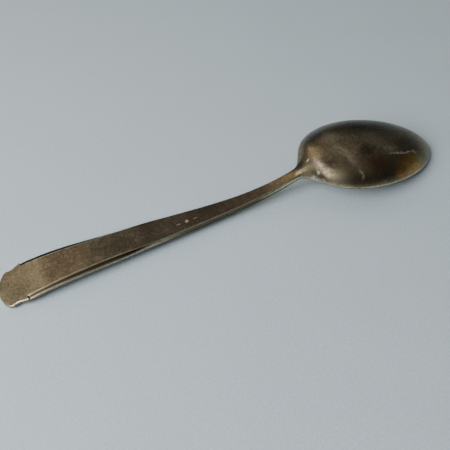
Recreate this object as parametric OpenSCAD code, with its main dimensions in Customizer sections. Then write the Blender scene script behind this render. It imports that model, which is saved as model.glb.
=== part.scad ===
// Silver teaspoon lying bowl-down with its back up, as it rests on a table.
// X runs from the handle end to the bowl's tip, Y across, Z up from the table.
// Every section is measured from the "edge line": the lower outer edge that runs round the
// whole spoon, along the handle's sides and on round the bowl's rim.

/* [Overall] */
// Length from the handle end to the bowl's tip
spoon_l = 140; // [138:0.5:142]

/* [Bowl] */
// Length of the bowl from its shoulders to its tip
bowl_l = 45.6; // [44:0.2:48]
// Width of the bowl at its widest
bowl_w = 29.5; // [27:0.5:32]
// Height of the bowl's back over its rim, metal included
bowl_depth = 8.6; // [7.5:0.1:10]
// Thickness of the bowl's wall at its crown
shell_t = 1; // [0.8:0.05:1.2]
// Width of the flat rim
rim_w = 0.9; // [0.7:0.05:1.2]
// Fullness of the outline at the shoulders, where a smaller value is fuller
heel_fullness = 0.4; // [0.36:0.01:0.45]
// Fullness of the outline at the tip, where a smaller value is blunter
tip_fullness = 0.56; // [0.52:0.01:0.62]
// Exponent of the arch across the bowl, where a smaller value is boxier
arch_fullness = 0.62; // [0.5:0.01:0.7]
// Exponent of the crown's rise along the bowl, where a smaller value is fuller at both ends
crown_fullness = 0.5; // [0.4:0.01:0.6]

/* [Handle] */
// Width of the stem at its narrowest
stem_w = 3.5; // [3:0.1:4.2]
// Widening from the stem to the broad end of the handle
flare_w = 10.2; // [9:0.1:12]
// Distance from the handle end to the notches
notch_x = 7.6; // [7:0.1:8.4]
// Depth of the waist beside each notch
waist_d = 0.7; // [0.4:0.05:1]
// Radius of the curved handle end
end_r = 8.6; // [8:0.1:10]

/* [Section] */
// Height of the upright side face
edge_t = 0.85; // [0.7:0.05:1]
// Height of the raised back over the edge line at the handle end
handle_t = 1.2; // [1.1:0.05:1.5]
// Height of the raised back over the edge line along the stem
stem_t = 1.85; // [1.6:0.05:2.2]
// Height of the raised front under the edge line
front_t = 0.35; // [0.1:0.05:0.5]
// Width of the sloping band beside the raised back, on the handle
band_handle_w = 1.3; // [1:0.05:1.6]
// Width of the sloping band beside the raised back, on the stem
band_stem_w = 0.3; // [0.2:0.05:0.5]

/* [Side profile] */
// Rise of the edge line from the handle end to the handle's arch
handle_rise = 3.1; // [2.6:0.02:3.6]
// Sag of the edge line from the handle's arch to the stem
stem_sag = 0.67; // [0.2:0.02:0.9]
// Rise of the edge line up the neck
neck_rise = 5.43; // [5:0.02:6]
// Height of the rim's line at the shoulders
rim_z = 9.06; // [8.4:0.02:9.4]
// Upward bow of the rim between the shoulders and the tip
rim_bow = 0.82; // [0.4:0.01:1]

/* [Hidden] */

bowl_x = spoon_l - bowl_l;
half_bowl = bowl_w / 2;
widest_u = heel_fullness / (heel_fullness + tip_fullness);

// Where the five regions of the spoon meet
neck_x = 84;
stem_x = 48;

// How softly the stem's sides and back run into the bowl
shoulder_soft = 0.76;
heel_soft = 1.8;
join_power = 4;
heel_power = 3;

// Ends of the handle's taper, of the arch and of the neck's rise
taper_from = -5;
taper_to = 95;
arch_to = 22;
sag_to = 62;
rise_from = 60;
line_soft = 0.4;

// Where the stem's section gives way to the bowl's arch
arch_from = 86;
arch_full = 96;
bowl_edge_t = 0.3;

// The hollow: its start, its length and its narrowest strip
hollow_x = bowl_x + 1.6;
hollow_l = spoon_l - rim_w - hollow_x;
hollow_half = half_bowl - rim_w;
hollow_strip = 0.8;

// Terminal beyond the notches
waist_x = 4.7;
corner_power = 12;
end_half_min = 1.4;
tip_half_min = 0.45;
crown_drop = 0.25;

// Steps along each region, and points across the arched regions
end_steps = 22;
handle_steps = 24;
stem_steps = 20;
neck_steps = 18;
bowl_steps = 44;
back_steps = 26;
hollow_steps = 16;

silver = [0.44, 0.39, 0.30];
silver_dark = [0.30, 0.26, 0.19];
silver_warm = [0.50, 0.44, 0.33];

function clamp(v, low, high) = min(max(v, low), high);
function ease(a, b, x) = let (t = clamp((x - a) / (b - a), 0, 1)) t * t * (3 - 2 * t);
function mix(a, b, t) = a + (b - a) * t;
function soft_ramp(x, soft) = x > 30 * soft ? x : soft * ln(1 + exp(x / soft));
function soft_min(a, b, soft) = min(a, b) - soft * ln(1 + exp(-abs(a - b) / soft));

// Share of the bowl's half width at the fraction u of its length
function bowl_share(u) = let (v = clamp(u, 0, 1))
    pow(v / widest_u, heel_fullness) * pow((1 - v) / (1 - widest_u), tip_fullness);
function bowl_half(x, soft) = half_bowl * bowl_share(soft_ramp(x - bowl_x, soft) / bowl_l);

// Half width of the handle and stem: half a cosine from broad to narrow
function stem_half(x) = let (t = clamp((x - taper_from) / (taper_to - taper_from), 0, 1))
    stem_w / 2 + flare_w / 4 * (1 + cos(180 * t));

// Half width of the terminal: a waist beside the notch, an ear and a curved end
function waist_half(x) = let (t = clamp((x - waist_x) / (notch_x - waist_x), -1, 1))
    stem_half(notch_x) - waist_d / 2 * (1 + cos(180 * t));
function end_half(x) = sqrt(max(x * (2 * end_r - x), 0));
function terminal_half(x) = x <= 0 ? end_half_min
    : max(end_half_min, pow(pow(end_half(x), -corner_power) + pow(waist_half(x), -corner_power),
                            -1 / corner_power));

function joined_half(x) = x > spoon_l - bowl_l / 2 ? max(tip_half_min, bowl_half(x, shoulder_soft))
    : pow(pow(stem_half(x), join_power) + pow(bowl_half(x, shoulder_soft), join_power),
          1 / join_power);

// Height of the edge line over the table
function handle_line(x) = handle_rise * (1 - pow(1 - clamp(x / arch_to, 0, 1), 2))
    - stem_sag * ease(arch_to, sag_to, x)
    + neck_rise * pow(max(x - rise_from, 0) / (bowl_x - rise_from), 3);
function rim_line(x) = let (u = (x - bowl_x) / bowl_l)
    rim_z * (1 - u) + rim_bow * 4 * u * (1 - u);
function edge_z(x) = x > spoon_l - bowl_l / 2 ? rim_line(x)
    : soft_min(handle_line(x), rim_line(x), line_soft);

// Height of the raised back, and of the bowl's crown, over the edge line
function back_t(x) = mix(handle_t, stem_t, ease(notch_x, 45, x));
function crown_t(x) = let (rise = bowl_depth * pow(bowl_half(x, heel_soft) / half_bowl, 2 * crown_fullness))
    x > spoon_l - bowl_l / 2 ? max(rise, bowl_edge_t)
    : pow(pow(rise, heel_power) + pow(back_t(x), heel_power), 1 / heel_power);
function front_drop(x) = front_t * ease(2, 12, x) * (1 - ease(neck_x - 6, neck_x + 6, x));
function band_w(x) = mix(band_handle_w, band_stem_w, ease(27, 47, x));
function arch(e) = pow(max(1 - e * e, 0), arch_fullness);

// One section of the handle or stem as [y, z] points: back, then front
function bar_section(x) = let (w = joined_half(x), z = edge_z(x), b = band_w(x))
    [[-w, z + edge_t], [-(w - b), z + back_t(x)], [w - b, z + back_t(x)], [w, z + edge_t],
     [w, z], [w - b, z - front_drop(x)], [-(w - b), z - front_drop(x)], [-w, z]];

// One section of the terminal, its back and front gently crowned, the back flat again at the notches
crown_marks = [-1, -0.75, -0.4, 0, 0.4, 0.75, 1];
function terminal_section(x) = let (w = terminal_half(x), z = edge_z(x),
                                    drop = crown_drop * (1 - ease(3.5, notch_x, x)))
    concat([for (v = crown_marks) [w * v, z + handle_t - drop * v * v]],
           [for (v = crown_marks) [-w * v, z - front_drop(x) * (1 - v * v)]]);

// One section of the neck: the bar's section turning into the bowl's arch
function arched_back(x) = let (w = joined_half(x), z = edge_z(x), m = ease(arch_from, arch_full, x),
                               b = band_w(x), edge = mix(edge_t, bowl_edge_t, m))
    [for (i = [0 : back_steps]) let (
        v = sin(mix(-90, 90, i / back_steps)),
        e = abs(v),
        flat = edge + (back_t(x) - edge) * clamp((1 - e) * w / b, 0, 1),
        round = edge + (crown_t(x) - edge) * arch(e)
    ) [w * v, z + mix(flat, round, m)]];

function neck_section(x) = let (w = joined_half(x), z = edge_z(x), b = band_w(x))
    concat(arched_back(x),
           [[w, z], [w - b, z - front_drop(x)], [-(w - b), z - front_drop(x)], [-w, z]]);

// One section of the bowl: its back, its flat rim and its hollow
function hollow_share(x) = bowl_share((x - hollow_x) / hollow_l);
function bowl_section(x) = let (w = joined_half(x), z = edge_z(x), share = hollow_share(x),
                                strip = min(hollow_strip, w / 2), w_in = max(hollow_half * share, strip),
                                h_in = (bowl_depth - shell_t) * pow(share, 2 * crown_fullness))
    concat(arched_back(x), [[w, z]],
           [for (i = [0 : hollow_steps]) let (v = sin(mix(90, -90, i / hollow_steps)))
               [w_in * v, z + h_in * arch(v)]],
           [[-w, z]]);

// A closed solid through a list of stations and their sections, each end fanned from its middle
module loft(stations, sections) {
    last = len(stations) - 1;
    count = len(sections[0]);
    rings = [for (i = [0 : last]) for (p = sections[i]) [stations[i] - spoon_l / 2, p[0], p[1]]];
    middles = [for (i = [0, last]) let (z = [for (p = sections[i]) p[1]])
        [stations[i] - spoon_l / 2, 0, (min(z) + max(z)) / 2]];
    start = len(rings);
    faces = [for (j = [0 : count - 1]) let (k = (j + 1) % count) each concat(
        [for (i = [0 : last - 1]) each [[i * count + j, i * count + k, (i + 1) * count + k],
                                        [i * count + j, (i + 1) * count + k, (i + 1) * count + j]]],
        [[start, k, j], [start + 1, last * count + j, last * count + k]]
    )];
    polyhedron(points = concat(rings, middles), faces = faces);
}

function even(a, b, n) = [for (i = [0 : n]) mix(a, b, i / n)];
function dense_start(a, b, n) = [for (i = [0 : n]) mix(a, b, 1 - cos(90 * i / n))];
function dense_ends(a, b, n) = [for (i = [0 : n]) mix(a, b, (1 - cos(180 * i / n)) / 2)];

module bowl() {
    x = dense_ends(bowl_x, spoon_l, bowl_steps);
    color(silver_dark) loft(x, [for (s = x) bowl_section(s)]);
}

module neck() {
    x = even(neck_x, bowl_x, neck_steps);
    color(silver_warm) loft(x, [for (s = x) neck_section(s)]);
}

module stem() {
    x = even(stem_x, neck_x, stem_steps);
    color(silver_dark) loft(x, [for (s = x) bar_section(s)]);
}

module handle() {
    x = even(notch_x, stem_x, handle_steps);
    color(silver) loft(x, [for (s = x) bar_section(s)]);
}

module handle_end() {
    x = dense_start(0, notch_x, end_steps);
    color(silver_warm) loft(x, [for (s = x) terminal_section(s)]);
}

bowl();
neck();
stem();
handle();
handle_end();
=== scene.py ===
"""A struck silver teaspoon, lying bowl-down with its back up, modelled in the frame of its CAD model.

The spoon is one forging. Its five regions, from the handle end to the bowl, are meshes lofted
through cross-sections, and every section is measured from the edge line, the lower outer edge
that runs round the whole spoon. Distances inside the shape functions are in millimetres from
the handle end, and the finished meshes are in metres.
"""

import math
from types import SimpleNamespace

import bpy
import numpy as np
from mathutils import Matrix, Vector


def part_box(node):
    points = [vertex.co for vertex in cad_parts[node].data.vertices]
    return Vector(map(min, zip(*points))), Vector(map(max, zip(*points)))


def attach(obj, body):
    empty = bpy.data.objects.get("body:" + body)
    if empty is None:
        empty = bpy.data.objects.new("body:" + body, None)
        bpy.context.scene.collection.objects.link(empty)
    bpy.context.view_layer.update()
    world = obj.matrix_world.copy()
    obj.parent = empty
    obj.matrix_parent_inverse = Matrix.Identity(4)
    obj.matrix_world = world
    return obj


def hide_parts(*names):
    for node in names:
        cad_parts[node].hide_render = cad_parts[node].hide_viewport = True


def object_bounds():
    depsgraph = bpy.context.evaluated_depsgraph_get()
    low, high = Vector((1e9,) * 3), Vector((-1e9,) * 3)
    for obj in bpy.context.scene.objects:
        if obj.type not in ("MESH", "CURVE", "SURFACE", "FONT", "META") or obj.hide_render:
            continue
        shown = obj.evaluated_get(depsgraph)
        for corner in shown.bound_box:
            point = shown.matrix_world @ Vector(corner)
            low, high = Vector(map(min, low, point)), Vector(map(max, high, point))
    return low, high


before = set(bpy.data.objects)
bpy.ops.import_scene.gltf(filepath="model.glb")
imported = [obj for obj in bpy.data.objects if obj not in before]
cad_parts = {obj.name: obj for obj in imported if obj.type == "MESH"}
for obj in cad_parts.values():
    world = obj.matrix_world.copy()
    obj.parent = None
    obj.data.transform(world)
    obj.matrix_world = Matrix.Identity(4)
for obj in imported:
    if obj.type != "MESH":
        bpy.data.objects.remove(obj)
CAD_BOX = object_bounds()

bl_info = {
    "name": "Silver Teaspoon",
    "version": (1, 0, 0),
    "blender": (4, 5, 0),
    "location": "View3D > Sidebar > Teaspoon",
    "description": "Builds a tarnished silver teaspoon and a plain paper stage round its CAD frame",
    "category": "Object",
}

MM = 0.001
SPOON_LENGTH = CAD_BOX[1].x - CAD_BOX[0].x


def span(node):
    """(start, end) of a CAD node along the spoon, in metres from the handle end."""
    low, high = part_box(node)
    return low.x - CAD_BOX[0].x, high.x - CAD_BOX[0].x


def linear(code):
    """An sRGB hex colour such as "b4a78c" as linear red, green and blue."""
    values = (int(code[i : i + 2], 16) / 255 for i in (0, 2, 4))
    return tuple(v / 12.92 if v <= 0.04045 else ((v + 0.055) / 1.055) ** 2.4 for v in values)


def length(name, description, metres):
    """A length property of the panel."""
    return bpy.props.FloatProperty(
        name=name, description=description, default=metres, min=0, unit="LENGTH", precision=5
    )


def ratio(name, description, value):
    """A property without a unit, such as an exponent."""
    return bpy.props.FloatProperty(name=name, description=description, default=value, min=0, precision=3)


def colour(name, description, code):
    """A colour property of the panel, from an sRGB hex value."""
    return bpy.props.FloatVectorProperty(
        name=name, description=description, subtype="COLOR", size=3, min=0, max=1, default=linear(code)
    )


class SpoonSizes(bpy.types.PropertyGroup):
    """The spoon's sizes. Those that the CAD boxes give are read from them."""

    bowl_width: length("Bowl width", "Width of the bowl at its widest", 2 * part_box("bowl")[1].y)
    bowl_depth: length("Bowl depth", "Height of the bowl's back over its rim", 0.0086)
    wall: length("Wall", "Thickness of the bowl's wall at its crown", 0.001)
    rim_width: length("Rim width", "Width of the flat rim", 0.0009)
    heel_fullness: ratio("Heel fullness", "Exponent of the outline at the shoulders", 0.4)
    tip_fullness: ratio("Tip fullness", "Exponent of the outline at the tip", 0.56)
    arch_fullness: ratio("Arch fullness", "Exponent of the arch across the bowl", 0.62)
    crown_fullness: ratio("Crown fullness", "Exponent of the crown's rise along the bowl", 0.5)
    stem_width: length("Stem width", "Width of the stem at its narrowest", 0.0035)
    flare: length("Flare", "Widening from the stem to the broad end of the handle", 0.0102)
    waist: length("Waist", "Depth of the waist beside each notch", 0.0007)
    end_radius: length("End radius", "Radius of the curved handle end", 0.0086)
    side_height: length("Side height", "Height of the upright side face", 0.00085)
    handle_back: length("Handle back", "Height of the raised back at the handle end", 0.0012)
    stem_back: length("Stem back", "Height of the raised back along the stem", 0.00185)
    front_drop: length("Front drop", "Depth of the raised front under the edge line", 0.00035)
    handle_band: length("Handle band", "Width of the sloping band on the handle", 0.0013)
    stem_band: length("Stem band", "Width of the sloping band on the stem", 0.0003)
    handle_rise: length("Handle rise", "Rise from the handle end to the handle's arch", 0.0031)
    stem_sag: length("Stem sag", "Sag from the handle's arch to the stem", 0.00067)
    neck_rise: length("Neck rise", "Rise of the edge line up the neck", 0.00543)
    rim_height: length("Rim height", "Height of the rim's line at the shoulders", 0.00906)
    rim_bow: length("Rim bow", "Upward bow of the rim between shoulders and tip", 0.00082)
    edge_round: length("Edge rounding", "Radius worn onto the outer edges", 0.00016)
    crease_round: length("Crease rounding", "Half width of the worn edge of the raised back", 0.00012)
    notch_stop: length("Notch stop", "Extra depth of the sloping band at the notches", 0.00022)
    mark_depth: length("Mark depth", "Depth of the punched ornament", 0.00009)


class SpoonColours(bpy.types.PropertyGroup):
    """The finish's colours."""

    # Silver also paints the highlight along the raised back's crease.
    silver: colour("Silver", "Rubbed bare silver on the edges", "e2d8ba")
    # Shade is painted shade: it darkens the sloping bands, the side faces from the stem on and the corners at
    # the notches.
    shade: colour("Shade", "Dark brown film left on the sloping bands", "3b3323")
    blush: colour("Blush", "Pinkish cast in the tarnish", "937663")
    olive: colour("Olive", "Olive cast in the tarnish", "7f7d52")
    straw: colour("Straw", "Thin film on the handle end", "746b55")
    umber: colour("Umber", "Brown film on the handle and stem", "625747")
    sepia: colour("Sepia", "Thick film on the middle of the handle", "564f42")
    tan: colour("Tan", "Film on the bowl", "796e55")
    gold: colour("Gold", "Yellow film on the neck", "7a6541")
    drab: colour("Drab", "Grey-brown clouds on the bowl", "6a5f4b")
    # Soot is dark tarnish on the bowl, and in one patch painted shade on the near shoulder.
    soot_and_shade: colour("Soot", "Old dark sulphide on the bowl", "4c4439")
    stone: colour("Stone", "Pale clouds on the bowl", "a2957a")
    ash: colour("Ash", "Bluish grey at the far shoulder", "7c7b7e")
    russet: colour("Russet", "Reddish film on the bowl", "7d5a44")
    amber: colour("Amber", "Orange-yellow film near the tip", "bb8f4c")
    copper: colour("Copper", "Orange spot near the tip", "b5783c")
    moss: colour("Moss", "Greenish film near the tip", "86875a")
    # Cream is scuffs to the bare metal, and in one patch a painted highlight at the near shoulder's edge.
    cream: colour("Cream", "Scuffs down to the bare metal", "ebe1c8")
    paper: colour("Paper", "The table's pale paper", "b8c5ca")


# Where the shape changes, in millimetres from the handle end. A pair is a start and an end.
TAPER = (-5.0, 95.0)
WAIST_X = 4.7
CROWN_FADE = 3.5
ARCH_TO = 22.0
SAG_TO = 62.0
RISE_FROM = 60.0
BACK_TO = 45.0
BAND_ZONE = (27.0, 47.0)
FRONT_STARTS = (2.0, 12.0)
FRONT_ENDS = (78.0, 90.0)
ARCH_ZONE = (86.0, 96.0)

# Softness and small sizes, in millimetres
SHOULDER_SOFT = 0.76
HEEL_SOFT = 1.8
LINE_SOFT = 0.4
BOWL_EDGE = 0.3
END_HALF_MIN = 1.4
TIP_HALF_MIN = 0.12
CROWN_DROP = 0.25
HOLLOW_STRIP = 0.8
HEEL_WALL = 1.6
STOP_LENGTH, STOP_WALL = 1.1, 0.25

# Shares: the terminal's edge radius against the handle's, the most of the half width that a band takes,
# the middle of a lozenge's ring, and the steepness of a mark's wall
TERMINAL_ROUND = 1.2
BAND_MOST = 0.45
RING_MIDDLE, MARK_WALL = 0.62, 2.2

# Values painted on the mesh for the finish: the wear on the outer edges, on the bowl's rim and on the
# terminal, and the painted highlight, partly wear, on the raised back's crease fall off over these reaches in
# millimetres. The stem's edges keep most of their film, and its side faces get the same painted shade as its
# bands.
ATTRIBUTES = ("wear_and_highlight", "band", "mark")
EDGE_REACH, RIM_REACH, TERMINAL_REACH, CREASE_REACH = 0.22, 0.45, 0.25, 0.1
CREASE_WEAR_AND_HIGHLIGHT, SIDE_WEAR, SIDE_SHADE = 0.75, 0.25, 1.0
STEM_FILM = 0.85
# The painted shade on a sloping band fades out over this share of its width
BAND_FADE = 0.3

# Where the edges' film thickens and thins again, and where the painted shade on the side faces comes in, in
# millimetres
FILM_STARTS, FILM_ENDS = (34, 58), (76, 87)
SIDE_ZONE = (28, 55)

# Shares of a half section's points given to its edge, band, crease and flat, or rim and hollow
BACK_KNOTS = (0, 0.15, 0.3, 0.5, 1)
FRONT_KNOTS = (0, 0.2, 0.4, 0.6, 1)
HOLLOW_KNOTS = (0, 0.14, 0.28, 1)
ARCH_SPREAD = 1.47

# Points on one side's half of the back, on a side face, and on half of the front
BACK_POINTS = 41
SIDE_POINTS = 4
FRONT_POINTS = 30

# The film along the spoon: (share of the length from the handle end, colour). Between two stops of
# different colours one runs into the other.
FILM = (
    (0.09, "straw"),
    (0.10, "umber"),
    (0.17, "umber"),
    (0.20, "sepia"),
    (0.32, "sepia"),
    (0.43, "umber"),
    (0.60, "umber"),
    (0.67, "tan"),
)

# Patches of tarnish, laid over one another, among them painted shade and a painted highlight at the near
# shoulder: (colour, place along the bowl from its shoulders as a share of its length, place across it as a
# share of its half width, half length and half width in millimetres, turn in degrees, strength)
PATCHES = (
    ("gold", -0.11, -0.05, 5.0, 2.6, 0, 0.6),
    ("soot_and_shade", -0.05, -0.04, 2.6, 2.6, 0, 0.9),
    ("drab", 0.04, -0.10, 3.4, 3.8, 20, 1.0),
    # Painted shade: a darker spot that dims the window's reflection on the near shoulder
    ("soot_and_shade", 0.07, -0.39, 4.6, 3.2, -50, 1.3),
    ("stone", 0.115, -0.71, 5.5, 2.8, -38, 1.0),
    ("stone", 0.20, 0.22, 4.8, 3.6, 15, 0.95),
    ("ash", 0.18, 0.58, 6.5, 2.8, 25, 0.9),
    ("soot_and_shade", 0.52, 0.37, 15.0, 5.5, 0, 1.0),
    ("drab", 0.365, 0.16, 4.5, 2.0, -10, 0.6),
    ("soot_and_shade", 0.36, -0.42, 4.2, 2.8, 30, 1.0),
    ("russet", 0.40, -0.69, 6.0, 3.6, -10, 0.8),
    ("stone", 0.23, -0.34, 9.5, 1.3, -74, 0.5),
    ("cream", 0.275, -0.85, 1.6, 0.6, -75, 0.6),
    ("drab", 0.28, -0.96, 12.0, 1.5, 0, 1.0),
    ("stone", 0.55, -0.47, 3.8, 1.6, 5, 0.7),
    ("amber", 0.68, -0.71, 7.0, 3.4, 12, 1.0),
    ("moss", 0.76, -0.64, 3.0, 2.4, 0, 0.6),
    ("copper", 0.555, -0.88, 3.2, 1.5, 12, 0.8),
    ("cream", 0.645, -0.53, 6.8, 0.5, 2, 1.0),
    ("cream", 0.01, -0.06, 0.8, 0.5, 0, 1.0),
    # Painted highlight at the near shoulder's edge
    ("cream", -0.01, -0.38, 3.3, 1.2, -52, 1.1),
)

# Mottling: (size in millimetres, detail, least and most gain on the film's colour)
CLOUD = (8, 3, 0.72, 1.3)
DRIFT = (2, 4)
MOTTLE = (0.7, 3, 0.7, 1.3)
GRAIN = (0.22, 2, 0.88, 1.12)

# The paper's felted grain and faint clouds: (size in millimetres, detail)
FELT = (0.625, 3)
HAZE = (25, 2)

# A noise's values lie mostly in this range
NOISE_RANGE = {"From Min": 0.3, "From Max": 0.7}

# Most that the pinkish and the olive cast cover, and the gain that gives a patch its solid middle
CAST_SHARE = 0.2
PATCH_GAIN = 1.5

# How far the clouds and the drifts push the patches' edges about, in metres
CLOUD_REACH, DRIFT_REACH = 0.0045, 0.0018

# Noises per metre along and across the spoon for the fine scratches
SCRATCH_SCALE = (90, 3600, 3600)

# The camera: focal length in millimetres, angles in degrees, and the point it faces and its
# distance from that point in metres
LENS = 45.49
AZIMUTH, ELEVATION, ROLL = -19.9, 50.28, -4.28
AIM = (-0.0036, -0.00334, 0)
DISTANCE = 0.16985

# Soft lights: (name, place in metres, sides of the panel in metres, power in watts, colour)
LIGHTS = (
    ("window", (-0.34, -0.1, 0.31), (0.33, 0.33), 3.4, "fbfdff"),
    ("pale_wall", (-0.4, 0.6, 0.7), (0.8, 0.8), 2.5, "fff6e8"),
    ("far_fill", (0.5, 0.4, 0.75), (1.1, 0.9), 0.8, "f4f6ff"),
    ("overhead", (0.0, -0.2, 0.95), (1.4, 1.2), 1.2, "f8f8ff"),
)
ROOM_COLOUR, ROOM_STRENGTH = "8f9499", 0.16
PAPER_HALF = 1.5

# A plain punched ornament on the stem, in millimetres from the handle end and from the middle line:
# (shape, x, y, half length, half width)
MARKS = (
    ("bar", 53.0, -0.75, 0.7, 0.16),
    ("lozenge", 55.6, -0.6, 0.7, 0.7),
    ("bar", 58.2, -0.45, 0.7, 0.16),
)


def sizes():
    """The panel's sizes as plain numbers, with lengths in millimetres."""
    group = bpy.context.scene.spoon_sizes
    made = {}
    for name in SpoonSizes.__annotations__:
        unit = group.bl_rna.properties[name].unit
        made[name] = getattr(group, name) * (1000 if unit == "LENGTH" else 1)
    made["spoon"] = SPOON_LENGTH * 1000
    made["bowl_x"] = span("bowl")[0] * 1000
    made["notch"] = span("handle")[0] * 1000
    made["bowl"] = made["spoon"] - made["bowl_x"]
    made["half"] = made["bowl_width"] / 2
    made["widest"] = made["heel_fullness"] / (made["heel_fullness"] + made["tip_fullness"])
    return SimpleNamespace(**made)


def ease(a, b, x):
    """Zero before a, one after b, and the cubic 3t^2 - 2t^3 between."""
    t = np.clip((x - a) / (b - a), 0, 1)
    return t * t * (3 - 2 * t)


def mix(a, b, t):
    """a at t = 0, b at t = 1, and a straight line between."""
    return a + (b - a) * t


def soft_ramp(x, soft):
    """x where it is well above zero, running softly down to zero below it."""
    return soft * np.logaddexp(0, x / soft)


def soft_min(a, b, soft):
    """The lower of a and b, with their crossing rounded."""
    return np.minimum(a, b) - soft * np.log1p(np.exp(-np.abs(a - b) / soft))


def soft_step(a, k):
    """a up to one and one beyond it, the corner rounded by a parabola over k on each side."""
    h = np.clip(k - np.abs(a - 1), 0, None) / k
    return np.minimum(a, 1) - h * h * k / 4


def fillet(d, r):
    """How far a quarter circle of radius r lies under a square corner, at the distance d from it."""
    t = np.clip(1 - d / r, 0, 1)
    return r * (1 - np.sqrt(1 - t * t))


def arch(e, power):
    """An arch over -1..1: one less the square of e, to a power under one, so that its feet stand upright."""
    return np.clip(1 - e * e, 0, None) ** power


def bowl_share(p, u):
    """Share of the bowl's half width at u of its length: u and 1 - u to the heel's and the tip's powers."""
    v = np.clip(u, 0, 1)
    return (v / p.widest) ** p.heel_fullness * ((1 - v) / (1 - p.widest)) ** p.tip_fullness


def bowl_half(p, x, soft):
    """Half width of the bowl alone, its start softened into the stem."""
    return p.half * bowl_share(p, soft_ramp(x - p.bowl_x, soft) / p.bowl)


def stem_half(p, x):
    """Half width of the handle and stem: half a cosine wave from broad to narrow."""
    t = np.clip((x - TAPER[0]) / (TAPER[1] - TAPER[0]), 0, 1)
    return p.stem_width / 2 + p.flare / 4 * (1 + np.cos(np.pi * t))


def joined_half(p, x):
    """Half width of the stem and bowl together: the fourth-power mean, or the bowl alone past its middle."""
    bowl = bowl_half(p, x, SHOULDER_SOFT)
    both = (stem_half(p, x) ** 4 + bowl**4) ** 0.25
    return np.where(x > p.spoon - p.bowl / 2, np.maximum(bowl, TIP_HALF_MIN), both)


def terminal_half(p, x):
    """Half width of the terminal: a circle's end and a waisted side, joined by their smaller value."""
    t = np.clip((x - WAIST_X) / (p.notch - WAIST_X), -1, 1)
    side = stem_half(p, p.notch) - p.waist / 2 * (1 + np.cos(np.pi * t))
    end = np.sqrt(np.clip(x * (2 * p.end_radius - x), 1e-6, None))
    return np.maximum((end**-12.0 + side**-12.0) ** (-1 / 12), END_HALF_MIN)


def edge_height(p, x):
    """Height of the edge line: a parabola up to the arch, an eased sag, a cubic up the neck, then the rim."""
    up = 1 - (1 - np.clip(x / ARCH_TO, 0, 1)) ** 2
    neck = (np.clip(x - RISE_FROM, 0, None) / (p.bowl_x - RISE_FROM)) ** 3
    handle = p.handle_rise * up - p.stem_sag * ease(ARCH_TO, SAG_TO, x) + p.neck_rise * neck
    u = (x - p.bowl_x) / p.bowl
    rim = p.rim_height * (1 - u) + p.rim_bow * 4 * u * (1 - u)
    return np.where(x > p.spoon - p.bowl / 2, rim, soft_min(handle, rim, LINE_SOFT))


def back_height(p, x):
    """Height of the raised back over the edge line."""
    return mix(p.handle_back, p.stem_back, ease(p.notch, BACK_TO, x))


def crown_height(p, x):
    """Height of the crown over the edge line: the outline's share to a power, joined to the stem's back."""
    rise = p.bowl_depth * (bowl_half(p, x, HEEL_SOFT) / p.half) ** (2 * p.crown_fullness)
    both = (rise**3 + back_height(p, x) ** 3) ** (1 / 3)
    return np.where(x > p.spoon - p.bowl / 2, np.maximum(rise, BOWL_EDGE), both)


def front_depth(p, x):
    """Depth of the raised front under the edge line."""
    return p.front_drop * ease(*FRONT_STARTS, x) * (1 - ease(*FRONT_ENDS, x))


def band_width(p, x):
    """Width of the sloping band beside the raised back."""
    return mix(p.handle_band, p.stem_band, ease(*BAND_ZONE, x))


def pieces_of(tau, knots):
    """The parameter tau cut at the knots: for each stretch, how far along it tau is, from 0 to 1."""
    return [np.clip((tau - a) / (b - a), 0, 1) for a, b in zip(knots, knots[1:])]


def bar_spread(w, b, c, r, tau, knots):
    """Distance from the outer edge for tau in 0..1: evenly turned round the edge's radius, along the
    sloping band, closely over its crease, then across to the middle."""
    turn, band, crease, flat = pieces_of(tau, knots)
    reach = np.clip(b - c - r, 0, None)
    return r * (1 - np.cos(np.pi / 2 * turn)) + reach * band + 2 * c * crease + (w - r - reach - 2 * c) * flat


def mark_mask(x, y):
    """One inside the punched marks and zero outside, with sloping walls. A lozenge is where the two
    distances, each over its half size, add up to less than one, and a bar where neither passes one. The
    lozenge's middle is left standing, so that its wall is a ring."""
    mask = np.zeros(np.broadcast(x, y).shape)
    for shape, mx, my, a, b in MARKS:
        dx, dy = np.abs(x - mx) / a, np.abs(y - my) / b
        far = dx + dy if shape == "lozenge" else np.maximum(dx, dy)
        if shape == "lozenge":
            far = np.abs(far - RING_MIDDLE) / (1 - RING_MIDDLE)
        mask = np.maximum(mask, np.clip((1 - far) * MARK_WALL, 0, 1))
    return mask


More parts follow.
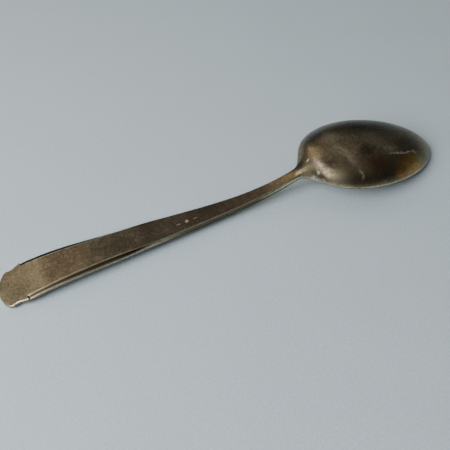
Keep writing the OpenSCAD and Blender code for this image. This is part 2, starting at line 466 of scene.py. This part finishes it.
def half_back(p, x, w):
    """Half of the back as (y, z, wear, band): the stem's flat back with its sloping band, turning into the
    bowl's arch between the neck's two stations. The wear value is partly a painted highlight on the raised
    back's crease, and the band value is painted shade. x and w are a column, and the result a grid."""
    tau = np.linspace(0, 1, BACK_POINTS)[None, :]
    m = ease(*ARCH_ZONE, x)
    b = np.minimum(band_width(p, x), BAND_MOST * w)
    r = np.minimum(p.edge_round, w / 4)
    c = np.minimum(p.crease_round, b / 3)
    bar = 1 - bar_spread(w, b, c, r, tau, BACK_KNOTS) / w
    v = mix(bar, np.cos(np.pi / 2 * tau**ARCH_SPREAD), m)
    d = (1 - v) * w
    edge = mix(p.side_height, BOWL_EDGE, m)
    back = back_height(p, x)
    stopped = np.clip(1 - (x - p.notch) / STOP_LENGTH, 0, 1)
    stop = p.notch_stop * stopped**2 * np.clip((b - d) / STOP_WALL, 0, 1)
    flat = edge + (back - edge) * soft_step(d / b, c / b) - fillet(d, r) - stop
    round_ = edge + (crown_height(p, x) - edge) * arch(v, p.arch_fullness)
    z = edge_height(p, x) + mix(flat, round_, m)
    # A painted highlight along the raised back's crease, partly wear on that edge
    crease = CREASE_WEAR_AND_HIGHLIGHT * np.exp(-(((d - b) / CREASE_REACH) ** 2)) * (1 - m)
    kept = STEM_FILM * ease(*FILM_STARTS, x) * (1 - ease(*FILM_ENDS, x))
    rim = np.exp(-((d / EDGE_REACH) ** 2)) * (1 - kept)
    rim = mix(rim, np.exp(-(((round_ - edge) / RIM_REACH) ** 2)), m)
    # Painted shade over the sloping band, fading out towards its crease
    band = np.clip((b - d) / (BAND_FADE * b), 0, 1) * (1 - m)
    # Next to the notches the wear is taken away and the whole band is given painted shade: a painted shadow
    # in the corner under the terminal's wall
    return v * w, z, np.maximum(crease, rim) * (1 - stopped), np.maximum(band, stopped * (d < b))


def half_front(p, x, w, hollow):
    """Half of the front as (y, z): flat with a sloping band under the handle, or the rim and the hollow."""
    tau = np.linspace(0, 1, FRONT_POINTS)[None, :]
    z = edge_height(p, x)
    r = np.minimum(p.edge_round, w / 4)
    if not hollow:
        b = np.minimum(band_width(p, x), BAND_MOST * w)
        c = np.minimum(p.crease_round, b / 3)
        d = bar_spread(w, b, c, r, tau, FRONT_KNOTS)
        return w - d, z + fillet(d, r) - front_depth(p, x) * soft_step(d / b, c / b)
    start = p.bowl_x + HEEL_WALL
    share = bowl_share(p, (x - start) / (p.spoon - p.rim_width - start))
    w_in = np.maximum((p.half - p.rim_width) * share, np.minimum(HOLLOW_STRIP, w / 2))
    h_in = (p.bowl_depth - p.wall) * share ** (2 * p.crown_fullness)
    turn, rim, inner = pieces_of(tau, HOLLOW_KNOTS)
    d = r * (1 - np.cos(np.pi / 2 * turn)) + (w - w_in - r) * rim
    v = np.cos(np.pi / 2 * inner**ARCH_SPREAD)
    y = np.where(tau < HOLLOW_KNOTS[2], w - d, w_in * v)
    return y, z + fillet(w - y, r) + np.where(tau < HOLLOW_KNOTS[2], 0, h_in * arch(v, p.arch_fullness))


def half_terminal(p, x, w):
    """Half of the terminal's back as (y, z, wear, band): gently crowned, its crown fading out towards
    the notch, and rounded off by its distance from the outline."""
    tau = np.linspace(0, 1, BACK_POINTS)[None, :]
    v = np.cos(np.pi / 2 * tau)
    y = w * v
    d = np.minimum(w - y, np.clip(p.end_radius - np.hypot(p.end_radius - x, y), 0, None))
    r = p.edge_round * TERMINAL_ROUND
    crown = CROWN_DROP * (1 - ease(CROWN_FADE, p.notch, x))
    z = edge_height(p, x) + p.handle_back - crown * v * v - fillet(d, r)
    wear_and_highlight = np.exp(-((d / TERMINAL_REACH) ** 2))
    return y, z, wear_and_highlight, np.zeros_like(y)


def terminal_front(p, x, w):
    """Half of the terminal's front as (y, z): gently crowned downwards."""
    tau = np.linspace(0, 1, FRONT_POINTS)[None, :]
    v = np.cos(np.pi / 2 * tau)
    y = w * v
    d = np.minimum(w - y, np.clip(p.end_radius - np.hypot(p.end_radius - x, y), 0, None))
    return y, edge_height(p, x) - front_depth(p, x) * (1 - v * v) + fillet(d, p.edge_round)


def section_grid(p, x, kind):
    """A grid of points, one row per station in x and one column per point round the section: the back
    from the near edge to the far edge, the far side down, the front back again, and the near side up.
    Returns the points in millimetres, with the wear (partly a painted highlight on the crease), the band's
    painted shade and the mark values."""
    x = np.asarray(x, float)[:, None]
    if kind == "terminal":
        w = terminal_half(p, x)
        y, z, wear_and_highlight, band = half_terminal(p, x, w)
        fy, fz = terminal_front(p, x, w)
    else:
        w = joined_half(p, x)
        y, z, wear_and_highlight, band = half_back(p, x, w)
        fy, fz = half_front(p, x, w, kind == "bowl")
    side = np.linspace(0, 1, SIDE_POINTS + 2)[None, 1:-1]
    side_y = np.repeat(w, SIDE_POINTS, axis=1)
    down = mix(z[:, :1], fz[:, :1], side)
    up = down[:, ::-1]
    none = np.zeros_like(down)
    side_wear = none + SIDE_WEAR * (1 - ease(*FILM_STARTS, x))
    # Painted shade on the side faces, from the middle of the handle on
    side_band = none + SIDE_SHADE * ease(*SIDE_ZONE, x)
    front_none = np.zeros((len(x), 2 * FRONT_POINTS - 1))

    def whole(a):
        """Half a section's values followed by their mirror image."""
        return np.concatenate([a, a[:, -2::-1]], axis=1)

    back_y = np.concatenate([-y, y[:, -2::-1]], axis=1)
    front_y = np.concatenate([fy, -fy[:, -2::-1]], axis=1)
    ys = np.concatenate([back_y, side_y, front_y, -side_y], axis=1)
    zs = np.concatenate([whole(z), down, whole(fz), up], axis=1)
    wear_and_highlight_values = np.concatenate([whole(wear_and_highlight), side_wear, front_none, side_wear], axis=1)
    bands = np.concatenate([whole(band), side_band, front_none, side_band], axis=1)
    marks = np.zeros_like(ys)
    if kind == "bar":
        top = np.arange(ys.shape[1]) < 2 * BACK_POINTS - 1
        marks = mark_mask(x, ys) * top[None, :]
        zs = zs - p.mark_depth * marks
    xs = np.repeat(x, ys.shape[1], axis=1)
    return np.stack([xs, ys, zs], axis=2), wear_and_highlight_values, bands, marks


def grid_normals(points):
    """Unit normals of a grid that closes round its columns: the along-difference crossed with the
    around-difference."""
    along = np.gradient(points, axis=0)
    around = np.roll(points, -1, axis=1) - np.roll(points, 1, axis=1)
    n = np.cross(along, around)
    size = np.linalg.norm(n, axis=2, keepdims=True)
    return n / np.where(size > 0, size, 1)


def loft_mesh(name, p, x, kind):
    """A closed mesh through the stations x. Its normals are worked out on a grid that runs one station
    past each end, so that the shading runs on unbroken from one region of the spoon to the next."""
    before = max(x[0] - (x[1] - x[0]), 1e-4) if x[0] > 0 else None
    after = x[-1] + (x[-1] - x[-2]) if x[-1] < p.spoon - 1e-4 else None
    longer = np.concatenate([[before] if before else [], x, [after] if after else []])
    points, wear_and_highlight, band, mark = section_grid(p, longer, kind)
    normals = grid_normals(points)
    rows = slice(1 if before else 0, len(longer) - (1 if after else 0))
    points, normals, wear_and_highlight, band, mark = (a[rows] for a in (points, normals, wear_and_highlight, band, mark))
    rows, count = points.shape[:2]

    middles = np.array([[x[i], 0, (points[i, :, 2].min() + points[i, :, 2].max()) / 2] for i in (0, -1)])
    if kind == "bowl":
        middles[1][2] = points[-1, :, 2].mean()
    verts = np.concatenate([points.reshape(-1, 3), middles])
    verts[:, 0] -= p.spoon / 2
    verts *= MM

    i, j = np.meshgrid(np.arange(rows - 1), np.arange(count), indexing="ij")
    k = (j + 1) % count
    here, ahead = i * count, (i + 1) * count
    quads = np.stack([here + j, ahead + j, ahead + k, here + k], axis=2).reshape(-1, 4)
    j = np.arange(count)
    k = (j + 1) % count
    start, last = rows * count, (rows - 1) * count
    fans = np.concatenate(
        [np.stack([j * 0 + start, j, k], axis=1), np.stack([j * 0 + start + 1, last + k, last + j], axis=1)]
    )
    mesh = bpy.data.meshes.new(name)
    loops = np.concatenate([quads.ravel(), fans.ravel()])
    corners = np.concatenate([np.full(len(quads), 4), np.full(len(fans), 3)])
    mesh.vertices.add(len(verts))
    mesh.vertices.foreach_set("co", verts.astype(np.float32).ravel())
    mesh.loops.add(len(loops))
    mesh.loops.foreach_set("vertex_index", loops.astype(np.int32))
    mesh.polygons.add(len(corners))
    mesh.polygons.foreach_set("loop_start", np.concatenate([[0], np.cumsum(corners)[:-1]]).astype(np.int32))
    mesh.polygons.foreach_set("use_smooth", np.ones(len(corners), bool))
    mesh.update(calc_edges=True)
    for label, values in zip(ATTRIBUTES, (wear_and_highlight, band, mark)):
        data = np.concatenate([values.ravel(), [0, 0]]).astype(np.float32)
        mesh.attributes.new(label, "FLOAT", "POINT").data.foreach_set("value", data)
    flat = np.zeros((len(fans) * 3, 3))
    flat[: count * 3, 0] = -1
    flat[count * 3 :, 0] = 1
    shaded = np.concatenate([normals.reshape(-1, 3)[quads.ravel()], flat])
    mesh.normals_split_custom_set(shaded.tolist())
    if mesh.validate(verbose=False):
        raise RuntimeError(name + " has a broken face")
    return mesh


def even(a, b, n):
    """n + 1 stations from a to b, evenly spaced."""
    return np.linspace(a, b, n + 1)


def dense_start(a, b, n):
    """n + 1 stations from a to b, close together at a: one less a cosine."""
    return a + (b - a) * (1 - np.cos(np.linspace(0, np.pi / 2, n + 1)))


def dense_ends(a, b, n):
    """n + 1 stations from a to b, close together at both ends: half of one less a cosine."""
    return a + (b - a) * (1 - np.cos(np.linspace(0, np.pi, n + 1))) / 2


def make_piece(name, node, x, kind):
    """Builds a region of the spoon, gives it the finish and ties it to the frame."""
    p = sizes()
    mesh = loft_mesh(name, p, x, kind)
    piece = bpy.data.objects.new(name, mesh)
    bpy.context.scene.collection.objects.link(piece)
    mesh.materials.append(tarnished_silver())
    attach(piece, "root")
    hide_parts(node)
    return piece


def add_node(tree, kind, links=None, **settings):
    """A new node of a kind in the tree. settings set its own attributes, and links is a dict from an
    input's name or number to another node's output or to a plain value. Returns the node."""
    node = tree.nodes.new(kind)
    for name, value in settings.items():
        setattr(node, name, value)
    for key, value in (links or {}).items():
        if isinstance(value, bpy.types.NodeSocket):
            tree.links.new(value, node.inputs[key])
        else:
            node.inputs[key].default_value = value
    return node


def film_along(tree, wander):
    """The film's colour along the spoon: paler at the handle end and on the bowl, brown between."""
    colours = bpy.context.scene.spoon_colours
    along = add_node(tree, "ShaderNodeSeparateXYZ", {0: wander}).outputs["X"]
    inputs = {"Value": along, "From Min": -SPOON_LENGTH / 2, "From Max": SPOON_LENGTH / 2}
    share = add_node(tree, "ShaderNodeMapRange", inputs).outputs[0]
    ramp = add_node(tree, "ShaderNodeValToRGB", {0: share})
    stops = ramp.color_ramp.elements
    while len(stops) < len(FILM):
        stops.new(1)
    for stop, (place, name) in zip(stops, FILM):
        stop.position = place
        stop.color = (*getattr(colours, name), 1)
    return ramp.outputs["Color"]


def film_patches(tree, wander, tint):
    """Soft ellipses in plan: pale clouds, dark and reddish film, the amber near the tip and scuffs, and at
    the near shoulder painted shade and a painted highlight.
    """
    colours = bpy.context.scene.spoon_colours
    start, end = span("bowl")
    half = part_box("bowl")[1].y
    for name, along, across, a, b, turn, strength in PATCHES:
        inputs = {
            "Vector": wander,
            "Location": (mix(start, end, along) - SPOON_LENGTH / 2, across * half, 0),
            "Rotation": (0, 0, math.radians(turn)),
            "Scale": (a * MM, b * MM, 1),
        }
        local = add_node(tree, "ShaderNodeMapping", inputs, vector_type="TEXTURE").outputs[0]
        ball = add_node(tree, "ShaderNodeTexGradient", {"Vector": local}, gradient_type="SPHERICAL")
        inputs = {0: ball.outputs["Fac"], 1: PATCH_GAIN * strength}
        cover = add_node(tree, "ShaderNodeMath", inputs, operation="MULTIPLY", use_clamp=True).outputs[0]
        inputs = {0: cover, 6: tint, 7: (*getattr(colours, name), 1)}
        tint = add_node(tree, "ShaderNodeMix", inputs, data_type="RGBA").outputs[2]
    return tint


def tarnished_silver():
    """Struck silver, polished once and then left to tarnish in use. A brown sulphide film, thicker along
    the stem and in clouds on the bowl, mottles the metal. The worn edges show it bare and smooth. Painted
    shade darkens the sloping bands, the side faces, the notch corners and a spot on the near shoulder, and
    painted highlights lighten the raised back's crease and the near shoulder's edge."""
    name = "tarnished_struck_800_silver"
    if name in bpy.data.materials:
        return bpy.data.materials[name]
    c = bpy.context.scene.spoon_colours
    material = bpy.data.materials.new(name)
    material.use_nodes = True
    tree = material.node_tree
    shader = tree.nodes["Principled BSDF"]
    shader.inputs["Metallic"].default_value = 1
    place = add_node(tree, "ShaderNodeTexCoord").outputs["Object"]

    # The noises, each in its real size
    cloud, drift, mottle, grain = (
        add_node(
            tree,
            "ShaderNodeTexNoise",
            {"Vector": place, "Scale": 1 / (size * MM), "Detail": detail, "Roughness": 0.6},
        ).outputs
        for size, detail, *_ in (CLOUD, DRIFT, MOTTLE, GRAIN)
    )

    # Fine scratches: noise drawn out along the spoon, as wiping leaves them
    drawn = add_node(tree, "ShaderNodeMapping", {"Vector": place, "Scale": SCRATCH_SCALE}).outputs[0]
    scratch = add_node(tree, "ShaderNodeTexNoise", {"Vector": drawn, "Scale": 1, "Detail": 2}).outputs["Fac"]

    # The film's edges wander with the clouds and the drifts
    wander = place
    for noise, reach in ((cloud, CLOUD_REACH), (drift, DRIFT_REACH)):
        inputs = {0: noise["Color"], 1: (reach,) * 3, 2: (-reach / 2,) * 3}
        shift = add_node(tree, "ShaderNodeVectorMath", inputs, operation="MULTIPLY_ADD").outputs[0]
        wander = add_node(tree, "ShaderNodeVectorMath", {0: wander, 1: shift}).outputs[0]
    tint = film_patches(tree, wander, film_along(tree, wander))

    # Pinkish where the drifts run high, and olive where they run low
    for end, cast in ((0.68, c.blush), (0.32, c.olive)):
        inputs = {"Value": drift["Fac"], "From Min": 0.5, "From Max": end, "To Max": CAST_SHARE}
        amount = add_node(tree, "ShaderNodeMapRange", inputs).outputs[0]
        inputs = {0: amount, 6: tint, 7: (*cast, 1)}
        tint = add_node(tree, "ShaderNodeMix", inputs, data_type="RGBA").outputs[2]

    # The film is thinner and thicker in spots
    for noise, (*_, low, high) in ((mottle, MOTTLE), (cloud, CLOUD), (grain, GRAIN)):
        inputs = {"Value": noise["Fac"], **NOISE_RANGE, "To Min": low, "To Max": high}
        gain = add_node(tree, "ShaderNodeMapRange", inputs).outputs[0]
        tint = add_node(tree, "ShaderNodeVectorMath", {0: tint, 1: gain}, operation="MULTIPLY").outputs[0]

    # Painted shade on the sloping bands, the side faces and the notch corners, then bare metal on the worn
    # edges and in the ornament, with a painted highlight on the raised back's crease
    wear_and_highlight, band, mark = (
        add_node(tree, "ShaderNodeAttribute", attribute_name=label).outputs["Fac"] for label in ATTRIBUTES
    )
    inputs = {"Value": mottle["Fac"], "From Min": 0.3, "From Max": 0.62, "To Min": 0.35, "To Max": 1}
    bare = add_node(tree, "ShaderNodeMapRange", inputs).outputs[0]
    rubbed_and_highlit = add_node(tree, "ShaderNodeMath", {0: wear_and_highlight, 1: bare}, operation="MULTIPLY").outputs[0]
    for amount, most, paint in ((band, 0.9, c.shade), (rubbed_and_highlit, 0.85, c.silver), (mark, 0.7, c.silver)):
        share = add_node(tree, "ShaderNodeMath", {0: amount, 1: most}, operation="MULTIPLY").outputs[0]
        inputs = {0: share, 6: tint, 7: (*paint, 1)}
        tint = add_node(tree, "ShaderNodeMix", inputs, data_type="RGBA").outputs[2]
    tree.links.new(tint, shader.inputs["Base Color"])

    # Rough where the film is thick, smoother on the rubbed edges
    inputs = {"Value": mottle["Fac"], **NOISE_RANGE, "To Min": 0.42, "To Max": 0.3}
    film = add_node(tree, "ShaderNodeMapRange", inputs).outputs[0]
    inputs = {0: wear_and_highlight, 1: -0.08, 2: film}
    rough = add_node(tree, "ShaderNodeMath", inputs, operation="MULTIPLY_ADD").outputs[0]
    tree.links.new(rough, shader.inputs["Roughness"])

    # Relief of a few thousandths of a millimetre, from the mottling and the scratches
    relief = add_node(tree, "ShaderNodeMath", {0: mottle["Fac"], 1: scratch}, operation="ADD").outputs[0]
    bump = add_node(tree, "ShaderNodeBump", {"Height": relief, "Strength": 0.6, "Distance": 0.00002})
    tree.links.new(bump.outputs[0], shader.inputs["Normal"])
    return material


def pale_paper():
    """Matt uncoated paper: faintly cloudy, with a fine felted grain."""
    c = bpy.context.scene.spoon_colours
    material = bpy.data.materials.new("matt_uncoated_paper")
    material.use_nodes = True
    tree = material.node_tree
    shader = tree.nodes["Principled BSDF"]
    shader.inputs["Specular IOR Level"].default_value = 0.2
    place = add_node(tree, "ShaderNodeTexCoord").outputs["Object"]
    felt, haze = (
        add_node(
            tree, "ShaderNodeTexNoise", {"Vector": place, "Scale": 1 / (size * MM), "Detail": detail}
        ).outputs["Fac"]
        for size, detail in (FELT, HAZE)
    )
    tint = add_node(tree, "ShaderNodeRGB").outputs[0]
    tint.default_value = (*c.paper, 1)
    for noise, swing in ((felt, 0.08), (haze, 0.015)):
        inputs = {"Value": noise, **NOISE_RANGE, "To Min": 1 - swing, "To Max": 1 + swing}
        gain = add_node(tree, "ShaderNodeMapRange", inputs).outputs[0]
        tint = add_node(tree, "ShaderNodeVectorMath", {0: tint, 1: gain}, operation="MULTIPLY").outputs[0]
    tree.links.new(tint, shader.inputs["Base Color"])
    rough = add_node(tree, "ShaderNodeMapRange", {"Value": felt, "To Min": 0.75, "To Max": 0.9}).outputs[0]
    tree.links.new(rough, shader.inputs["Roughness"])
    bump = add_node(tree, "ShaderNodeBump", {"Height": felt, "Strength": 0.35, "Distance": 0.00003})
    tree.links.new(bump.outputs[0], shader.inputs["Normal"])
    return material


def area_light(name, place, sides, power, tint):
    """A soft rectangular light at a place, facing the spoon's middle."""
    data = bpy.data.lights.new(name, "AREA")
    data.shape = "RECTANGLE"
    data.size, data.size_y = sides
    data.energy = power
    data.color = linear(tint)
    lamp = bpy.data.objects.new(name, data)
    bpy.context.scene.collection.objects.link(lamp)
    lamp.location = place
    lamp.rotation_euler = (-Vector(place)).to_track_quat("-Z", "Y").to_euler()


def lay_paper(scene):
    """The flat sheet of paper that the spoon lies on."""
    half = PAPER_HALF
    corners = [(-half, -half, 0), (half, -half, 0), (half, half, 0), (-half, half, 0)]
    mesh = bpy.data.meshes.new("paper")
    mesh.from_pydata(corners, [], [(0, 1, 2, 3)])
    floor = bpy.data.objects.new("paper", mesh)
    scene.collection.objects.link(floor)
    mesh.materials.append(pale_paper())


def set_camera(scene):
    """The camera: its back points up and away at the azimuth and elevation, and it rolls about that line."""
    data = bpy.data.cameras.new("camera")
    camera = bpy.data.objects.new("camera", data)
    scene.collection.objects.link(camera)
    scene.camera = camera
    data.lens = LENS
    data.sensor_width = 36
    data.clip_start = 0.005
    data.clip_end = 10
    azimuth, elevation, roll = (math.radians(v) for v in (AZIMUTH, ELEVATION, ROLL))
    outwards = Vector((math.sin(azimuth), -math.cos(azimuth), 0))
    back = outwards * math.cos(elevation) + Vector((0, 0, math.sin(elevation)))
    right = (-back).cross(Vector((0, 0, 1))).normalized()
    up = right.cross(-back)
    turned = right * math.cos(roll) + up * math.sin(roll)
    upright = up * math.cos(roll) - right * math.sin(roll)
    place = Matrix.Translation(Vector(AIM) + back * DISTANCE)
    camera.matrix_world = place @ Matrix((turned, upright, back)).transposed().to_4x4()


class SPOON_OT_handle_end(bpy.types.Operator):
    """Builds the terminal beyond the notches"""

    bl_idname = "spoon.handle_end"
    bl_label = "Handle end"

    def execute(self, context):
        a, b = (v * 1000 for v in span("handle_end"))
        make_piece("handle_end_silver", "handle_end", dense_start(a, b, 100), "terminal")
        return {"FINISHED"}


class SPOON_OT_handle(bpy.types.Operator):
    """Builds the broad part of the handle with its sloping bands"""

    bl_idname = "spoon.handle"
    bl_label = "Handle"

    def execute(self, context):
        a, b = (v * 1000 for v in span("handle"))
        x = np.concatenate([even(a, a + 1.6, 16)[:-1], even(a + 1.6, b, 150)])
        make_piece("handle_silver", "handle", x, "plain")
        return {"FINISHED"}


class SPOON_OT_stem(bpy.types.Operator):
    """Builds the stem with its punched ornament"""

    bl_idname = "spoon.stem"
    bl_label = "Stem"

    def execute(self, context):
        a, b = (v * 1000 for v in span("stem"))
        first, last = MARKS[0][1] - 0.8, MARKS[-1][1] + 0.8
        x = np.concatenate([even(a, first, 34)[:-1], even(first, last, 220)[:-1], even(last, b, 80)])
        make_piece("stem_silver", "stem", x, "bar")
        return {"FINISHED"}


class SPOON_OT_neck(bpy.types.Operator):
    """Builds the neck, where the stem rises into the bowl"""

    bl_idname = "spoon.neck"
    bl_label = "Neck"

    def execute(self, context):
        a, b = (v * 1000 for v in span("neck"))
        make_piece("neck_silver", "neck", even(a, b, 70), "plain")
        return {"FINISHED"}


class SPOON_OT_bowl(bpy.types.Operator):
    """Builds the bowl with its rim and its hollow"""

    bl_idname = "spoon.bowl"
    bl_label = "Bowl"

    def execute(self, context):
        a, b = (v * 1000 for v in span("bowl"))
        make_piece("bowl_silver", "bowl", dense_ends(a, b, 190), "bowl")
        return {"FINISHED"}


class SPOON_OT_stage(bpy.types.Operator):
    """Lays the paper, hangs the lights and sets up the camera"""

    bl_idname = "spoon.stage"
    bl_label = "Stage"

    def execute(self, context):
        scene = context.scene
        lay_paper(scene)
        world = bpy.data.worlds.new("dim_room")
        scene.world = world
        world.use_nodes = True
        background = world.node_tree.nodes["Background"]
        background.inputs["Color"].default_value = (*linear(ROOM_COLOUR), 1)
        background.inputs["Strength"].default_value = ROOM_STRENGTH
        for light in LIGHTS:
            area_light(*light)
        set_camera(scene)
        return {"FINISHED"}


class SPOON_PT_panel(bpy.types.Panel):
    """The spoon's steps, sizes and colours"""

    bl_idname = "SPOON_PT_panel"
    bl_label = "Silver teaspoon"
    bl_space_type = "VIEW_3D"
    bl_region_type = "UI"
    bl_category = "Teaspoon"

    def draw(self, context):
        layout = self.layout
        for operator in OPERATORS:
            layout.operator(operator.bl_idname)
        for group in (context.scene.spoon_sizes, context.scene.spoon_colours):
            box = layout.box()
            for name in group.__annotations__:
                box.prop(group, name)


OPERATORS = (
    SPOON_OT_handle_end,
    SPOON_OT_handle,
    SPOON_OT_stem,
    SPOON_OT_neck,
    SPOON_OT_bowl,
    SPOON_OT_stage,
)
CLASSES = (SpoonSizes, SpoonColours, *OPERATORS, SPOON_PT_panel)


def register():
    for cls in CLASSES:
        bpy.utils.register_class(cls)
    bpy.types.Scene.spoon_sizes = bpy.props.PointerProperty(type=SpoonSizes)
    bpy.types.Scene.spoon_colours = bpy.props.PointerProperty(type=SpoonColours)


def unregister():
    del bpy.types.Scene.spoon_colours
    del bpy.types.Scene.spoon_sizes
    for cls in reversed(CLASSES):
        bpy.utils.unregister_class(cls)


def main():
    register()
    bpy.ops.spoon.handle_end()
    bpy.ops.spoon.handle()
    bpy.ops.spoon.stem()
    bpy.ops.spoon.neck()
    bpy.ops.spoon.bowl()
    bpy.ops.spoon.stage()


if __name__ == "__main__":
    main()
